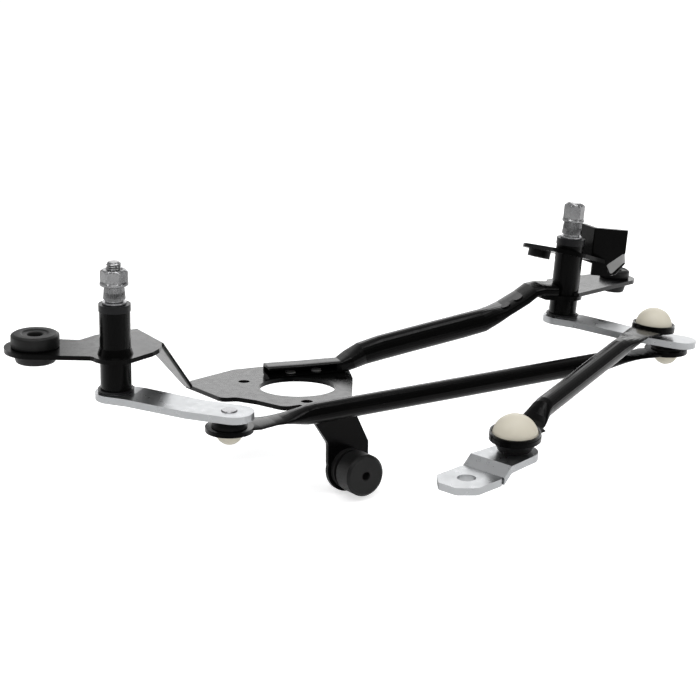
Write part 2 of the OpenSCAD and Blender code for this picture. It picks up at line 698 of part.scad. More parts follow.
// A link along X between its ball centres, with any extra metal as children.
// An end is [eye diameter, hole, tilt, flat length, neck length]
module link_tube(span, first, last, mid, tube_z) {
    start = end_stations(first[0], mid, first[2], first[3], first[4], tube_z);
    finish = backwards(end_stations(last[0], mid, last[2], last[3], last[4], tube_z));
    hollow_from = first[3] + first[4];
    difference() {
        union() {
            skin(concat(
                [for (s = start) flat_ring(s[0], s[1], s[2], s[3], s[4])],
                [for (s = finish) flat_ring(span - s[0], s[1], s[2], s[3], -s[4])]));
            rotate([0, -first[2], 0]) translate([0, 0, mid - eye_t / 2]) cylinder(d = first[0], h = eye_t);
            translate([span, 0, mid - eye_t / 2]) cylinder(d = last[0], h = eye_t);
            children();
        }
        translate([hollow_from, 0, tube_z]) rotate([0, 90, 0])
            cylinder(d = link_od - 2 * link_wall, h = span - last[3] - last[4] - hollow_from);
        rotate([0, -first[2], 0]) translate([0, 0, mid - eye_t]) cylinder(d = first[1], h = 2 * eye_t);
        translate([span, 0, mid - eye_t]) cylinder(d = last[1], h = 2 * eye_t);
    }
}

// The turned-up rim of an eye, round its dome
eye_rim_h = 1.6;
module eye_rim(eye, eye_top) translate([0, 0, eye_top - eps]) difference() {
    cylinder(d = eye - 0.4, h = eye_rim_h);
    translate([0, 0, -eps]) cylinder(d = eye - 2.4, h = eye_rim_h + 2 * eps);
}

// A plastic ball socket, dome towards +Z, ball centre at the origin
module socket(dome, hole, eye_top, apex, clear) color(cream) difference() {
    rise = apex - eye_top;
    round = (dome * dome / 4 + rise * rise) / (2 * rise);
    union() {
        translate([0, 0, eye_top]) intersection() {
            translate([0, 0, rise - round]) sphere(round);
            cylinder(d = dome, h = rise + 1);
        }
        translate([0, 0, eye_top - eye_t - socket_lip]) cylinder(d = hole, h = eye_t + socket_lip + eps);
    }
    sphere(d = ball_d + 2 * clear);
    translate([0, 0, mouth_top - ball_d]) cylinder(d = mouth_d, h = ball_d);
}

// A rubber dust boot from a link's eye to just above the face that carries the stud
module boot(hole, eye_top, foot, top_r, foot_r) color(rubber) {
    top = eye_top - eye_t;
    rotate_extrude() polygon([[hole / 2, top], [top_r, top], [top_r, top - 0.8],
        [foot_r + boot_t, foot + 0.5], [foot_r + boot_t, foot], [foot_r, foot], [foot_r, foot + 0.5],
        [hole / 2, top - socket_lip - 0.1]]);
}

link_len = norm(right_ball_at - left_ball_at);
link_flat = 25;
link_tube_z = 1.6;
link_end = [eye_d, small_hole_d, 0, link_flat, neck_len];
small_dome_h = small_eye_top + small_dome_d / 2;
module on_link(x) along(left_ball_at, right_ball_at) translate([x, 0, 0]) mirror([0, 0, 1]) children();
module connecting_link() color(black) along(left_ball_at, right_ball_at)
    link_tube(link_len, link_end, link_end, eye_t / 2 - small_eye_top, link_tube_z);
module small_socket(clear) socket(small_dome_d, small_hole_d, small_eye_top, small_dome_h, clear);
module link_left_socket() on_link(0) small_socket(open_clear);
module link_right_socket() on_link(link_len) small_socket(ball_clear);
module link_left_boot() on_link(0)
    boot(small_hole_d, small_eye_top, boot_gap - left_ball_rise, boot_r, boot_foot_r);
module link_right_boot() on_link(link_len) 
    boot(small_hole_d, small_eye_top, 1.2 * boot_gap - right_ball_rise, boot_r - 0.6, boot_foot_r);

// The drive link's lever end lies parallel to the lever
drive_dir = unit(crank_ball_at - drive_ball_at);
drive_side = unit(cross([0, 0, 1], drive_dir));
drive_tilt = -asin(right_up * drive_dir);
drive_roll = -asin(right_up * drive_side / cos(drive_tilt));
drive_flat = 29;
crank_flat = 17;
crank_neck_len = 19;
drive_tube_z = 1.4;
module on_drive(x) along(drive_ball_at, crank_ball_at) rotate([drive_roll, 0, 0])
    translate([x, 0, 0]) children();
module on_drive_lever() on_drive(0) rotate([0, -drive_tilt, 0]) children();
module drive_link() color(black) on_drive(0)
    link_tube(drive_len, [eye_d, drive_hole_d, drive_tilt, drive_flat, neck_len],
        [crank_eye_d, drive_hole_d, 0, crank_flat, crank_neck_len], drive_eye_top - eye_t / 2, drive_tube_z) {
        rotate([0, -drive_tilt, 0]) eye_rim(eye_d, drive_eye_top);
        translate([drive_len, 0, 0]) eye_rim(crank_eye_d, drive_eye_top);
    }
module drive_lever_socket() on_drive_lever()
    socket(dome_d, drive_hole_d, drive_eye_top, dome_h, ball_clear);
module drive_crank_socket() on_drive(drive_len)
    socket(crank_dome_d, drive_hole_d, drive_eye_top, dome_h, ball_clear);
module drive_lever_boot() on_drive_lever()
    boot(drive_hole_d, drive_eye_top, boot_gap - drive_ball_rise, boot_r, boot_foot_r);
module drive_crank_boot() on_drive(drive_len)
    boot(drive_hole_d, drive_eye_top, 1.5 * boot_gap - crank_ball_rise, crank_boot_r, crank_boot_foot_r);

// Motor crank: ball end on top, a step, and the motor end below
module at_crank() translate(crank_ball_at) rotate(crank_heading) children();
crank_ball_end_r = 12.5;
crank_bend = [19.5, 25.5];
crank_tip = 15.4;
crank_corner = 8;
crank_round = 3;
module motor_crank() color(zinc) at_crank() {
    half = crank_w / 2;
    low = crank_top_z - crank_step;
    tip = crank_throw + crank_tip;
    difference() {
        union() {
            translate([0, 0, crank_top_z - crank_t]) linear_extrude(crank_t) union() {
                circle(crank_ball_end_r);
                polygon([[0, -crank_ball_end_r], [crank_bend[0], -half], [crank_bend[0], half],
                    [0, crank_ball_end_r]]);
            }
            translate([0, half, 0]) rotate([90, 0, 0]) linear_extrude(crank_w)
                polygon([[crank_bend[0], crank_top_z], [crank_bend[1], low],
                    [crank_bend[1], low - crank_t], [crank_bend[0], crank_top_z - crank_t]]);
            translate([0, 0, low - crank_t]) linear_extrude(crank_t)
                polygon(rounded([[crank_bend[1] - eps, -half], [tip - crank_corner, -half],
                    [tip, crank_corner - half], [tip, half - crank_corner], [tip - crank_corner, half],
                    [crank_bend[1] - eps, half]], crank_round));
        }
        translate([crank_throw, 0, low - 2 * crank_t]) cylinder(d = crank_bore, h = 3 * crank_t);
        translate([0, 0, crank_top_z - 2 * crank_t]) cylinder(d = neck_d, h = 3 * crank_t);
    }
}
module crank_ball_stud() at_crank() translate([0, 0, crank_top_z])
    ball_stud(crank_ball_rise, crank_t, stud_head_d);

// Rubber grommets in the ears and the leg
module grommet(d, bore, neck, up, down) color(rubber) difference() {
    union() {
        cylinder(d = d, h = up - 1.5);
        translate([0, 0, up - 1.5]) cylinder(d1 = d, d2 = d - 3, h = 1.5);
        translate([0, 0, -sheet - eps]) cylinder(d = neck, h = sheet + 2 * eps);
        translate([0, 0, -sheet - down]) cylinder(d1 = d - 5, d2 = d - 2, h = down);
    }
    translate([0, 0, -sheet - down - 1]) cylinder(d = bore, h = up + down + sheet + 2);
}
module left_grommet() at_left() translate([left_ear[0], left_ear[1], left_plate_h])
    grommet(grommet_d, grommet_bore, grommet_neck, grommet_up, grommet_down);
module right_grommet() at_right() translate([right_ear[0], right_ear[1], ear_h])
    grommet(right_grommet_d, grommet_bore, right_neck, right_grommet_up, right_grommet_down);
leg_groove_d = leg_grommet_d - 6;
module leg_grommet() at_plate() translate([leg_x, leg_front_y, -leg_drop]) rotate([90, 0, 0])
    color(rubber) difference() {
        union() {
            cylinder(d = leg_grommet_d - 1, h = 3.5);
            cylinder(d = leg_groove_d, h = leg_grommet_len - 1);
            translate([0, 0, 6.5]) cylinder(d = leg_grommet_d, h = leg_grommet_len - 8);
            translate([0, 0, leg_grommet_len - 1.5])
                cylinder(d1 = leg_grommet_d, d2 = leg_grommet_d - 3, h = 1.5);
            translate([0, 0, -sheet - eps]) cylinder(d = leg_hole_d, h = sheet + 2 * eps);
            translate([0, 0, -sheet - 3]) cylinder(d1 = leg_grommet_d - 5, d2 = leg_grommet_d - 3, h = 3);
        }
        translate([0, 0, -sheet - 4]) cylinder(d = leg_grommet_bore, h = leg_grommet_len + sheet + 5);
    }

main_bracket();
frame_tube();
left_tube_rivets();
right_tube_rivets();
right_lower_bracket();
right_upper_bracket();
upper_ear_pad();
left_pivot_tube();
right_pivot_tube();
left_upper_bush();
left_lower_bush();
right_upper_bush();
right_lower_bush();
left_tube_cap();
right_tube_cap();
left_seal_washer();
right_seal_washer();
left_thrust_washer();
right_thrust_washer();
left_grommet();
right_grommet();
leg_grommet();
left_shaft();
right_shaft();
left_lever();
right_lever();
left_nut();
right_nut();
left_retaining_ring();
right_retaining_ring();
left_ball_stud();
right_link_ball_stud();
right_drive_ball_stud();
connecting_link();
link_left_socket();
link_right_socket();
link_left_boot();
link_right_boot();
drive_link();
drive_lever_socket();
drive_crank_socket();
drive_lever_boot();
drive_crank_boot();
motor_crank();
crank_ball_stud();
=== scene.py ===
import json
import math

import bpy
from mathutils import Matrix, Vector


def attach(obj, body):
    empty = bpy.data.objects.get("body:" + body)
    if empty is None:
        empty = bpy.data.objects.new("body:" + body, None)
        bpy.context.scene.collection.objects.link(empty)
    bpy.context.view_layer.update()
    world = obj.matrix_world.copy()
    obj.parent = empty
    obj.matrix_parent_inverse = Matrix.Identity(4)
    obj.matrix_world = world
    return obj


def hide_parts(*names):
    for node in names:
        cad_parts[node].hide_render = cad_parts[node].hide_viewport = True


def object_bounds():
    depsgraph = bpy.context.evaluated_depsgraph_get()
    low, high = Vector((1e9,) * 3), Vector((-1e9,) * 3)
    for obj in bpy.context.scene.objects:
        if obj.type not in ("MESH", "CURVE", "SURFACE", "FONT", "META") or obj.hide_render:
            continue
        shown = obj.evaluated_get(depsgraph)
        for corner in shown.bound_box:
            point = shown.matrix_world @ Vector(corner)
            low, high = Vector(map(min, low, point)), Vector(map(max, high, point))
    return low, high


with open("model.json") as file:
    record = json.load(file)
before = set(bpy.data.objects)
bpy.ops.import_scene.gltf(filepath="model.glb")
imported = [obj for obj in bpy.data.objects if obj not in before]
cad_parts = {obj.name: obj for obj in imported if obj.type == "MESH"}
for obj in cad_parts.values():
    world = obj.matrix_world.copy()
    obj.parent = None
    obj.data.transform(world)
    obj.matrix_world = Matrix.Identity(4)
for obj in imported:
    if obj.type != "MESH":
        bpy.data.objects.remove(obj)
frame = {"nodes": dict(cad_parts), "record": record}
cad_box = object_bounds()
nodes = frame["nodes"]
record = frame["record"]
scene = bpy.context.scene
slots = {row["node"]: row["material_slot"] for row in record["subparts"]}
bodies = {node: body for body, names in record["behaviour"]["bodies"].items() for node in names}
joints = {joint["name"]: joint for joint in record["behaviour"]["joints"]}
MM = 0.001
WHITE = (1, 1, 1, 1)


# Effect groups

NOISE_LOW, NOISE_HIGH = 0.3, 0.7  # where most of a noise texture's values lie


def effect_group(name, inputs, outputs):
    """An empty effect group with named sockets. Inputs are (name, kind, value)."""
    group = bpy.data.node_groups.new(name, "ShaderNodeTree")
    for label, kind, value in inputs:
        socket = group.interface.new_socket(label, in_out="INPUT", socket_type=kind)
        socket.default_value = value
    for label, kind in outputs:
        group.interface.new_socket(label, in_out="OUTPUT", socket_type=kind)
    return group, group.nodes.new("NodeGroupInput"), group.nodes.new("NodeGroupOutput")


def piece_noise(group, start, detail):
    """Noise over a piece's own coordinates, at the group's Scale."""
    place = group.nodes.new("ShaderNodeTexCoord")
    noise = group.nodes.new("ShaderNodeTexNoise")
    noise.inputs["Detail"].default_value = detail
    group.links.new(place.outputs["Object"], noise.inputs["Vector"])
    group.links.new(start.outputs["Scale"], noise.inputs["Scale"])
    return noise.outputs["Fac"]


def make_fine_grain():
    """Small soft lumps, as in paint and moulded rubber."""
    group, start, end = effect_group(
        "fine_grain",
        [("Scale", "NodeSocketFloat", 900.0), ("Low", "NodeSocketFloat", 0.3),
         ("High", "NodeSocketFloat", 0.5)],
        [("Value", "NodeSocketFloat"), ("Height", "NodeSocketFloat")])
    noise = piece_noise(group, start, detail=4.0)
    spread = group.nodes.new("ShaderNodeMapRange")
    spread.inputs["From Min"].default_value = NOISE_LOW
    spread.inputs["From Max"].default_value = NOISE_HIGH
    link = group.links.new
    link(noise, spread.inputs["Value"])
    link(start.outputs["Low"], spread.inputs["To Min"])
    link(start.outputs["High"], spread.inputs["To Max"])
    link(spread.outputs["Result"], end.inputs["Value"])
    link(noise, end.inputs["Height"])
    return group


def make_cloudy_tone():
    """Broad patches that shift a colour slightly."""
    group, start, end = effect_group(
        "cloudy_tone",
        [("Scale", "NodeSocketFloat", 40.0), ("Dark", "NodeSocketColor", (0.02, 0.02, 0.02, 1)),
         ("Light", "NodeSocketColor", (0.03, 0.03, 0.03, 1))],
        [("Color", "NodeSocketColor")])
    noise = piece_noise(group, start, detail=3.0)
    blend = group.nodes.new("ShaderNodeMix")
    blend.data_type = "RGBA"
    link = group.links.new
    link(noise, blend.inputs["Factor"])
    link(start.outputs["Dark"], blend.inputs["A"])
    link(start.outputs["Light"], blend.inputs["B"])
    link(blend.outputs["Result"], end.inputs["Color"])
    return group


FINE_GRAIN = make_fine_grain()
CLOUDY_TONE = make_cloudy_tone()


# Finishes

BUMP_HEIGHT = 0.2 * MM


def new_material(name):
    """A fresh node material, with its node tree and its Principled shader."""
    mat = bpy.data.materials.new(name)
    mat.use_nodes = True
    tree = mat.node_tree
    return mat, tree, tree.nodes["Principled BSDF"]


def place_group(tree, group, **values):
    """Puts an effect group into a material with its own values."""
    node = tree.nodes.new("ShaderNodeGroup")
    node.node_tree = group
    for label, value in values.items():
        node.inputs[label].default_value = value
    return node


def grey(level):
    """A neutral colour."""
    return (level, level, level)


def finish_material(name, dark, light, patch, rough, grain, bump, metallic=0.0, ior=1.5, front=1.0):
    """A finish with a slowly varying tone, a varying roughness and a fine bump.

    Patch and grain are the scales of the tone and of the bump. Front scales the mirror shine
    of faces seen square on, while grazing faces keep theirs."""
    mat, tree, shader = new_material(name)
    tone = place_group(tree, CLOUDY_TONE, Scale=patch, Dark=(*dark, 1), Light=(*light, 1))
    lumps = place_group(tree, FINE_GRAIN, Scale=grain, Low=rough[0], High=rough[1])
    raised = tree.nodes.new("ShaderNodeBump")
    raised.inputs["Strength"].default_value = bump
    raised.inputs["Distance"].default_value = BUMP_HEIGHT
    tree.links.new(tone.outputs["Color"], shader.inputs["Base Color"])
    tree.links.new(lumps.outputs["Value"], shader.inputs["Roughness"])
    tree.links.new(lumps.outputs["Height"], raised.inputs["Height"])
    tree.links.new(raised.outputs["Normal"], shader.inputs["Normal"])
    shader.inputs["Metallic"].default_value = metallic
    shader.inputs["IOR"].default_value = ior
    shader.inputs["Specular Tint"].default_value = (*grey(front), 1)
    return mat


FINISHES = {
    "black_paint": finish_material(
        "black_frame_paint", dark=grey(0.0015), light=grey(0.003), patch=30.0,
        rough=(0.18, 0.25), grain=300.0, bump=0.02, ior=1.6, front=0.08),
    "black_link_paint": finish_material(
        "black_link_paint", dark=grey(0.0015), light=grey(0.003), patch=30.0,
        rough=(0.16, 0.22), grain=300.0, bump=0.02, ior=1.45, front=0.06),
    "sintered_bronze": finish_material(
        "bush_bronze", dark=(0.42, 0.29, 0.15), light=(0.52, 0.37, 0.20), patch=200.0,
        rough=(0.35, 0.5), grain=1500.0, bump=0.1, metallic=1.0),
    "rubber": finish_material(
        "moulded_rubber", dark=grey(0.007), light=grey(0.012), patch=60.0,
        rough=(0.38, 0.50), grain=900.0, bump=0.06, ior=1.6, front=0.32),
    "black_plastic": finish_material(
        "cap_plastic", dark=(0.004, 0.004, 0.005), light=(0.007, 0.007, 0.008), patch=60.0,
        rough=(0.28, 0.4), grain=800.0, bump=0.03, ior=1.6, front=0.3),
    "cream_plastic": finish_material(
        "ivory_plastic", dark=(0.59, 0.55, 0.45), light=(0.67, 0.63, 0.53), patch=50.0,
        rough=(0.34, 0.45), grain=400.0, bump=0.02),
    "steel": finish_material(
        "turned_steel", dark=(0.34, 0.34, 0.35), light=(0.42, 0.42, 0.43), patch=150.0,
        rough=(0.25, 0.36), grain=600.0, bump=0.03, metallic=1.0),
    "zinc": finish_material(
        "bright_zinc", dark=(0.43, 0.44, 0.45), light=(0.49, 0.50, 0.51), patch=60.0,
        rough=(0.26, 0.35), grain=250.0, bump=0.015, metallic=1.0),
}
FASTENER_ZINC = finish_material(
    "fastener_zinc", dark=(0.20, 0.20, 0.205), light=(0.38, 0.38, 0.385), patch=180.0,
    rough=(0.22, 0.34), grain=500.0, bump=0.04, metallic=1.0)
# A pale grey sheet that paints highlights: on the upward faces of the right tab's lip, and on the left
# channel's rivets so they show as lit bumps in the channel's shade.
PALE_HIGHLIGHT_SHEET = finish_material(
    "painted_highlight_sheet", dark=(0.24, 0.24, 0.235), light=(0.30, 0.30, 0.295), patch=120.0,
    rough=(0.4, 0.5), grain=500.0, bump=0.04)
OWN_FINISHES = {
    "left_shaft": FASTENER_ZINC, "right_shaft": FASTENER_ZINC,
    "left_nut": FASTENER_ZINC, "right_nut": FASTENER_ZINC,
    # The rivets in the left channel take the pale sheet, a painted highlight that shows them as lit bumps
    # in the channel's shade.
    "left_tube_rivets": PALE_HIGHLIGHT_SHEET,
}


def finish_of(node):
    """A node's own finish, or else the finish of its slot."""
    return OWN_FINISHES.get(node, FINISHES[slots[node]])


# Shape helpers, with sizes in millimetres

SHARP_OVER = 32  # degrees between two faces, past which their edge is shown sharp
BEVEL_OVER = 38  # degrees between two faces, past which their edge is rounded
FLAT_UNDER = 1.0  # degrees between two faces, under which they are merged
CORNER_SHARE = 0.45  # most of a side that a rounded corner may take


def shade_by_angle(obj, degrees):
    """Smooth faces, kept sharp where they meet at more than that angle."""
    for poly in obj.data.polygons:
        poly.use_smooth = True
    obj.data.set_sharp_from_angle(angle=math.radians(degrees))


def soften_edges(obj, width):
    """Merges flat triangles, then rounds the sharp edges of a CAD node by that width."""
    merge = obj.modifiers.new("merge_flat_faces", "DECIMATE")
    merge.decimate_type = "DISSOLVE"
    merge.angle_limit = math.radians(FLAT_UNDER)
    merge.delimit = {"MATERIAL"}
    edge = obj.modifiers.new("soft_edges", "BEVEL")
    edge.limit_method = "ANGLE"
    edge.angle_limit = math.radians(BEVEL_OVER)
    edge.width = width * MM
    edge.segments = 2
    edge.harden_normals = True


def axis_frame(origin, up):
    """A frame at origin in metres with its Z axis along up and its X axis near the world's."""
    z = Vector(up).normalized()
    x = Vector((1, 0, 0))
    x = (x - z * x.dot(z)).normalized()
    spin = Matrix((x, z.cross(x), z)).transposed().to_4x4()
    return Matrix.Translation(origin) @ spin


def shifted(place, x=0.0, y=0.0, z=0.0):
    """That frame moved along its own axes."""
    return place @ Matrix.Translation((x * MM, y * MM, z * MM))


def around(sides):
    """The angles of a full turn in equal steps."""
    return [2 * math.pi * i / sides for i in range(sides)]


def polar_ring(radii, z):
    """A ring of points at one height, with a radius for each equal step round the axis."""
    return [(r * math.cos(t), r * math.sin(t), z) for r, t in zip(radii, around(len(radii)))]


def ring_mesh(name, rings, place, closed=False):
    """A mesh through rings of points. Closed joins the last ring to the first."""
    count = len(rings[0])
    verts = [Vector(p) * MM for ring in rings for p in ring]
    faces = []
    last = len(rings) if closed else len(rings) - 1
    for j in range(last):
        a, b = j * count, (j + 1) % len(rings) * count
        for i in range(count):
            k = (i + 1) % count
            faces.append((a + i, a + k, b + k, b + i))
    if not closed:
        faces.append(tuple(reversed(range(count))))
        faces.append(tuple(range(len(verts) - count, len(verts))))
    mesh = bpy.data.meshes.new(name)
    mesh.from_pydata(verts, [], faces)
    mesh.transform(place)
    obj = bpy.data.objects.new(name, mesh)
    scene.collection.objects.link(obj)
    return obj


def rounded_corners(points, radius, steps=4):
    """A closed outline in two dimensions with its corners rounded by curves."""
    out = []
    for i, corner in enumerate(points):
        at = Vector(corner)
        before = Vector(points[i - 1]) - at
        after = Vector(points[(i + 1) % len(points)]) - at
        half = before.angle(after) / 2
        reach = min(radius / math.tan(half), before.length * CORNER_SHARE, after.length * CORNER_SHARE)
        start = at + before.normalized() * reach
        end = at + after.normalized() * reach
        for step in range(steps + 1):
            t = step / steps
            out.append(start * (1 - t) ** 2 + at * 2 * t * (1 - t) + end * t ** 2)
    return out


def turned(name, outline, place, radius, sides=72):
    """A turned ring. The outline is a closed list of (radius, height), rounded at its corners."""
    rings = [polar_ring([r] * sides, z) for r, z in rounded_corners(outline, radius)]
    return ring_mesh(name, rings, place, closed=True)


def dress(obj, node, degrees=SHARP_OVER):
    """Puts a piece in the place of a CAD node, with that node's body, slot and finish."""
    obj.data.materials.append(finish_of(node))
    shade_by_angle(obj, degrees)
    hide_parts(node)
    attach(obj, bodies[node])


PIVOTS = {
    "left": axis_frame(joints["left_sweep"]["pos_m"], joints["left_sweep"]["axis"]),
    "right": axis_frame(joints["wiper_sweep"]["pos_m"], joints["wiper_sweep"]["axis"]),
}


# Pivot shafts and nuts, with heights in millimetres along a pivot's axis

RING_SIDES = 144
STEP = 0.01  # height of a shoulder between two radii
LEVER_T, LEVER_RISE = 4.0, 2.2
FOOT_RIVET = 1.5
FOOT_DOME = ((-0.6, 1.0), (0.2, 0.8), (1.0, 0.0))  # radius past the spigot's, and share of the foot's depth
SHAFT_R, SPIGOT_R = 5.0, 4.0
CLIP_FOOT, CLIP_TOP, GROOVE_R = 51.5, 52.5, 4.2
KNURL_FOOT, KNURL_TOP, KNURL_FOOT_R, KNURL_TOP_R = 53.9, 61.5, 6.1, 5.4
KNURL_CHAMFER = 0.3
KNURL_PLAIN = 0.42  # share of the cone without splines
SPLINES, SPLINE_DEPTH, SPLINE_STEPS = 36, 0.3, 8
THREAD_R, THREAD_PITCH, THREAD_STEPS = 4.0, 1.25, 8
THREAD_WAVE = 0.25  # half the depth of the thread
THREAD_STOP = 0.8  # from the tip down to the last of the thread
TIP_CHAMFER = ((-0.5, -0.75), (-1.1, 0.0))  # radius past the thread's, and height from the tip
STUD_TIPS = {"left": 74.4, "right": 72.8}
NUT_FLATS = {"left": 13.0, "right": 11.0}
NUT_TOPS = {"left": 70.2, "right": 72.5}
NUT_TURN = 27.5  # degrees
NUT_COLLAR, NUT_RIM, RIM_CHAMFER = 2.4, 1.2, 0.3
COLLAR_EDGE = ((0.0, -1.1), (-0.25, -0.75))  # radius past the rim's, and height from the collar's top
HEX_FOOT = NUT_COLLAR - 0.4
CONE_SHARE, CONE_SLOPE, CONE_STEPS = 0.92, 1.4, 10  # the cone that cuts back a nut's corners
BORE_CHAMFER = 0.9
NUT_SHARP_OVER = 24


def circle_ring(radius, z):
    """A round ring of a shaft or a nut."""
    return polar_ring([radius] * RING_SIDES, z)


def splined_ring(radius, z, depth):
    """A ring with a wave for each spline."""
    return polar_ring([radius - depth * (0.5 - 0.5 * math.cos(SPLINES * t)) for t in around(RING_SIDES)], z)


def thread_ring(z):
    """A ring with one wave round the axis, which turns with the height."""
    rise = 2 * math.pi * z / THREAD_PITCH
    return polar_ring([THREAD_R - THREAD_WAVE - THREAD_WAVE * math.sin(rise - t)
                       for t in around(RING_SIDES)], z)


def add_shaft(side):
    """A pivot shaft with its riveted foot, ring groove, splined cone and thread."""
    tip = STUD_TIPS[side]
    under = LEVER_RISE - LEVER_T
    rings = [circle_ring(SPIGOT_R + past, under - share * FOOT_RIVET) for past, share in FOOT_DOME]
    rings += [circle_ring(r, z) for r, z in [
        (SPIGOT_R, under + STEP), (SPIGOT_R, LEVER_RISE),
        (SHAFT_R, LEVER_RISE + STEP), (SHAFT_R, CLIP_FOOT),
        (GROOVE_R, CLIP_FOOT + STEP), (GROOVE_R, CLIP_TOP),
        (SHAFT_R, CLIP_TOP + STEP), (SHAFT_R, KNURL_FOOT),
        (KNURL_FOOT_R - KNURL_CHAMFER, KNURL_FOOT + STEP), (KNURL_FOOT_R, KNURL_FOOT + KNURL_CHAMFER)]]
    knurl_h = KNURL_TOP - KNURL_FOOT
    plain = KNURL_FOOT + KNURL_PLAIN * knurl_h
    for step in range(SPLINE_STEPS + 1):
        z = plain + (KNURL_TOP - plain) * step / SPLINE_STEPS
        radius = KNURL_FOOT_R + (KNURL_TOP_R - KNURL_FOOT_R) * (z - KNURL_FOOT) / knurl_h
        rings.append(splined_ring(radius, z, SPLINE_DEPTH if step else 0.0))
    z = KNURL_TOP + STEP
    while z < tip - THREAD_STOP:
        rings.append(thread_ring(z))
        z += THREAD_PITCH / THREAD_STEPS
    rings += [circle_ring(THREAD_R + past, tip + rise) for past, rise in TIP_CHAMFER]
    dress(ring_mesh(side + "_turned_shaft", rings, PIVOTS[side]), side + "_shaft")


def hex_radius(flats, turn):
    """Distance from the axis to a nut's hexagon in one direction."""
    off = (turn - math.radians(NUT_TURN)) % (math.pi / 3) - math.pi / 6
    return flats / 2 / math.cos(off)


def add_nut(side):
    """A flange nut whose corners are cut back by a cone at the top."""
    flats = NUT_FLATS[side]
    top = NUT_TOPS[side] - KNURL_TOP
    rim = flats / 2 + NUT_RIM
    rings = [circle_ring(rim - RIM_CHAMFER, 0), circle_ring(rim, RIM_CHAMFER)]
    rings += [circle_ring(rim + past, NUT_COLLAR + rise) for past, rise in COLLAR_EDGE]
    for step in range(CONE_STEPS + 1):
        z = HEX_FOOT + (top - HEX_FOOT) * (step / CONE_STEPS) ** 0.5
        cone = flats / 2 * CONE_SHARE + (top - z) * CONE_SLOPE
        rings.append(polar_ring([min(hex_radius(flats, t), cone, rim) for t in around(RING_SIDES)], z))
    rings += [circle_ring(THREAD_R + BORE_CHAMFER, top), circle_ring(THREAD_R, top - BORE_CHAMFER),
              circle_ring(THREAD_R, 0)]
    place = shifted(PIVOTS[side], z=KNURL_TOP)
    dress(ring_mesh(side + "_chamfered_nut", rings, place, closed=True), side + "_nut", NUT_SHARP_OVER)


# Ear grommets, placed in millimetres from their pivot

SHEET = 2.5
EAR_BORE = 8.4
FOOT_TAPER, FOOT_SKIRT = 2.5, 1.0  # how far a grommet's foot draws in at its end and under the sheet
HEAD_EDGE_H, HEAD_EDGE_W = 1.0, 1.6
DISH_RIM, DISH_FLOOR, DISH_DEPTH = 3.4, 2.8, 0.7  # the shallow dish round the bore
GROMMET_ROUND = 1.0
GROMMET_SHARP_OVER = 50
EAR_GROMMETS = {
    "left": {"ear": (-31.7, 33.8, 23.4), "wide": 26.5, "neck": 17.0, "up": 7.6, "down": 6.0},
    "right": {"ear": (61.5, 26.5, 18.6), "wide": 18.6, "neck": 13.0, "up": 5.5, "down": 6.7},
}


def add_ear_grommet(side, ear, wide, neck, up, down):
    """A grommet with a head above the sheet and a foot below it. The sheet's top is at height zero."""
    r, hole = wide / 2, EAR_BORE / 2
    outline = [
        (hole, -SHEET - down), (r - FOOT_TAPER, -SHEET - down), (r - FOOT_SKIRT, -SHEET),
        (neck / 2, -SHEET), (neck / 2, 0), (r, 0), (r, up - HEAD_EDGE_H), (r - HEAD_EDGE_W, up),
        (hole + DISH_RIM, up), (hole + DISH_FLOOR, up - DISH_DEPTH), (hole, up - DISH_DEPTH)]
    place = shifted(PIVOTS[side], *ear)
    dress(turned(side + "_moulded_grommet", outline, place, GROMMET_ROUND), side + "_grommet",
          GROMMET_SHARP_OVER)


for pivot_side in ("left", "right"):
    add_shaft(pivot_side)
    add_nut(pivot_side)
for pivot_side, grommet in EAR_GROMMETS.items():
    add_ear_grommet(pivot_side, **grommet)


# Finishes of the CAD nodes

SOFT_EDGES = {"rubber": 0.8, "black_plastic": 0.6, "black_paint": 0.45, "zinc": 0.45}
TAB_FOLD = Vector((17.2, -2.0))  # the tab's foot, in millimetres from the right pivot
TAB_RUN = Vector((17.0, -10.2)).normalized()  # along the tab
# Bounds of the painted highlight on the tab's lip, and how far up a face must point to get it.
LIP_START, LIP_FRONT, LIP_TOP = 9.5, 1.4, 43  # along the tab, out from it, and up the pivot
HIGHLIGHT_FACES_UP = 0.2


def dress_cad_nodes():
    """Gives each CAD node its finish and softens its edges."""
    for name, node in nodes.items():
        node.data.materials.clear()
        node.data.materials.append(finish_of(name))
        shade_by_angle(node, SHARP_OVER)
        if slots[name] in SOFT_EDGES:
            soften_edges(node, SOFT_EDGES[slots[name]])


def paint_tab_lip_highlight():
    """Paints a highlight on the lip under the right tab: its upward faces get the pale sheet."""
    node = nodes["right_upper_bracket"]
    node.data.materials.append(PALE_HIGHLIGHT_SHEET)
    local = PIVOTS["right"].inverted() @ node.matrix_world
    front = Vector((TAB_RUN.y, -TAB_RUN.x))
    for poly in node.data.polygons:
        at = (local @ poly.center) / MM
        beside = at.xy - TAB_FOLD
        on_lip = beside.dot(TAB_RUN) > LIP_START and beside.dot(front) > LIP_FRONT and at.z < LIP_TOP
        # Upward faces on the lip get the pale sheet as a painted highlight.
        if on_lip and (local.to_3x3() @ poly.normal).z > HIGHLIGHT_FACES_UP:
            poly.material_index = 1


dress_cad_nodes()
paint_tab_lip_highlight()


# Camera, light and stage, in metres

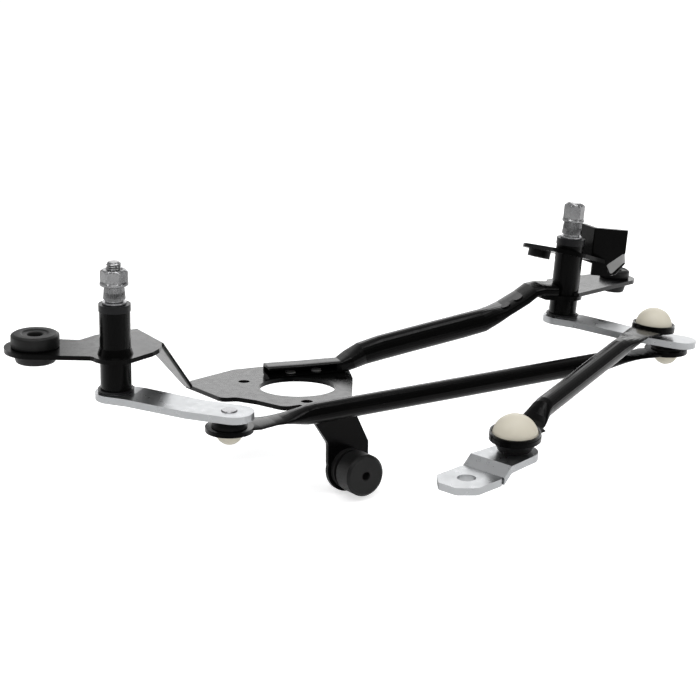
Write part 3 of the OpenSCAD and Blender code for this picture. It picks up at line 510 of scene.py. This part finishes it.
VIEW_RIGHT = Vector((0.8435, -0.5371, 0.0)).normalized()
VIEW_AHEAD = Vector((0.5142, 0.8076, -0.2889)).normalized()
VIEW_PLACE = (-0.5619, -0.9382, 0.3524)
VIEW_ROLL = math.radians(0.83)
SENSOR, LENS = 36.0, 102.857  # millimetres
MIDDLE = (0.05, 0, 0)
ROOM_LIGHT = 0.5
BRIGHT_WAY = (0.05, 0.93, 0.36)  # the side of the room that reflections see bright
BRIGHT_FROM, BRIGHT_FULL = 0.0, 0.7
ROOM_DIM, ROOM_BRIGHT = 0.15, 0.5
FLOOR_REACH, FLOOR_TONE = 6, 0.85
FLOOR_SEEN, FLOOR_MIRRORED = 0.6, 0.12  # the floor's glow to the eye and in reflections


def add_camera():
    """The photograph's viewpoint, fitted to the pivots, the levers and the motor hole."""
    up = VIEW_RIGHT.cross(VIEW_AHEAD)
    across = VIEW_RIGHT * math.cos(VIEW_ROLL) + up * math.sin(VIEW_ROLL)
    tall = up * math.cos(VIEW_ROLL) - VIEW_RIGHT * math.sin(VIEW_ROLL)
    data = bpy.data.cameras.new("photo_camera")
    data.sensor_width = SENSOR
    data.lens = LENS
    data.clip_end = 20.0
    camera = bpy.data.objects.new("photo_camera", data)
    spin = Matrix((across, tall, -VIEW_AHEAD)).transposed().to_4x4()
    camera.matrix_world = Matrix.Translation(VIEW_PLACE) @ spin
    scene.collection.objects.link(camera)
    scene.camera = camera


def add_lamp(name, place, aim, size, power, mirrored=True):
    """A soft rectangular lamp that the camera does not see, and shiny faces only if mirrored."""
    data = bpy.data.lights.new(name, "AREA")
    data.shape = "RECTANGLE"
    data.size, data.size_y = size
    data.energy = power
    lamp = bpy.data.objects.new(name, data)
    lamp.location = place
    lamp.rotation_mode = "QUATERNION"
    lamp.rotation_quaternion = (Vector(aim) - Vector(place)).to_track_quat("-Z", "Y")
    lamp.visible_camera = False
    lamp.visible_glossy = mirrored
    scene.collection.objects.link(lamp)


def white_surroundings():
    """White to the eye. Reflections see a bright room behind and above, and a dim one in front."""
    world = bpy.data.worlds.new("studio")
    world.use_nodes = True
    scene.world = world
    tree = world.node_tree
    tree.nodes.clear()
    link = tree.links.new
    out = tree.nodes.new("ShaderNodeOutputWorld")
    ray = tree.nodes.new("ShaderNodeLightPath")
    mirrored = tree.nodes.new("ShaderNodeMath")
    mirrored.operation = "MAXIMUM"
    link(ray.outputs["Is Glossy Ray"], mirrored.inputs[0])
    link(ray.outputs["Is Transmission Ray"], mirrored.inputs[1])
    place = tree.nodes.new("ShaderNodeTexCoord")
    behind = tree.nodes.new("ShaderNodeVectorMath")
    behind.operation = "DOT_PRODUCT"
    behind.inputs[1].default_value = BRIGHT_WAY
    room = tree.nodes.new("ShaderNodeMapRange")
    room.interpolation_type = "SMOOTHSTEP"
    room.inputs["From Min"].default_value = BRIGHT_FROM
    room.inputs["From Max"].default_value = BRIGHT_FULL
    room.inputs["To Min"].default_value = ROOM_DIM
    room.inputs["To Max"].default_value = ROOM_BRIGHT
    link(place.outputs["Generated"], behind.inputs[0])
    link(behind.outputs["Value"], room.inputs["Value"])
    soft = tree.nodes.new("ShaderNodeBackground")
    soft.inputs["Strength"].default_value = ROOM_LIGHT
    shown = tree.nodes.new("ShaderNodeBackground")
    link(room.outputs["Result"], shown.inputs["Strength"])
    white = tree.nodes.new("ShaderNodeBackground")
    for shade in (soft, shown, white):
        shade.inputs["Color"].default_value = WHITE
    reflect = tree.nodes.new("ShaderNodeMixShader")
    link(mirrored.outputs[0], reflect.inputs[0])
    link(soft.outputs[0], reflect.inputs[1])
    link(shown.outputs[0], reflect.inputs[2])
    final = tree.nodes.new("ShaderNodeMixShader")
    link(ray.outputs["Is Camera Ray"], final.inputs[0])
    link(reflect.outputs[0], final.inputs[1])
    link(white.outputs[0], final.inputs[2])
    link(final.outputs[0], out.inputs["Surface"])


def add_floor():
    """A pale floor under the lowest grommet that keeps a faint shadow."""
    low = cad_box[0].z
    corners = [(x * FLOOR_REACH, y * FLOOR_REACH, low) for x, y in [(-1, -1), (1, -1), (1, 1), (-1, 1)]]
    mesh = bpy.data.meshes.new("floor")
    mesh.from_pydata(corners, [], [(0, 1, 2, 3)])
    floor = bpy.data.objects.new("floor", mesh)
    scene.collection.objects.link(floor)
    mat, tree, shader = new_material("floor_white")
    shader.inputs["Base Color"].default_value = (*grey(FLOOR_TONE), 1)
    shader.inputs["Roughness"].default_value = 0.9
    shader.inputs["Specular IOR Level"].default_value = 0.0
    shader.inputs["Emission Color"].default_value = WHITE
    ray = tree.nodes.new("ShaderNodeLightPath")
    glow = tree.nodes.new("ShaderNodeMath")
    glow.operation = "MULTIPLY_ADD"
    glow.inputs[1].default_value = FLOOR_SEEN
    mirrored = tree.nodes.new("ShaderNodeMath")
    mirrored.operation = "MULTIPLY"
    mirrored.inputs[1].default_value = FLOOR_MIRRORED
    tree.links.new(ray.outputs["Is Glossy Ray"], mirrored.inputs[0])
    tree.links.new(ray.outputs["Is Camera Ray"], glow.inputs[0])
    tree.links.new(mirrored.outputs[0], glow.inputs[2])
    tree.links.new(glow.outputs[0], shader.inputs["Emission Strength"])
    mesh.materials.append(mat)


add_camera()
white_surroundings()
add_lamp("key_light", place=(-0.6, -0.9, 1.3), aim=MIDDLE, size=(1.0, 1.0), power=6)
add_lamp("fill_light", place=(1.2, -0.6, 0.9), aim=MIDDLE, size=(1.0, 1.0), power=4, mirrored=False)
add_lamp("strip_light", place=(0.0, -0.15, 1.3), aim=MIDDLE, size=(1.8, 0.14), power=7)
add_lamp("back_panel", place=(0.98, 1.10, 0.55), aim=(0.05, 0, 0.05), size=(1.2, 0.75), power=3.8)
add_floor()
scene.view_settings.view_transform = "Standard"
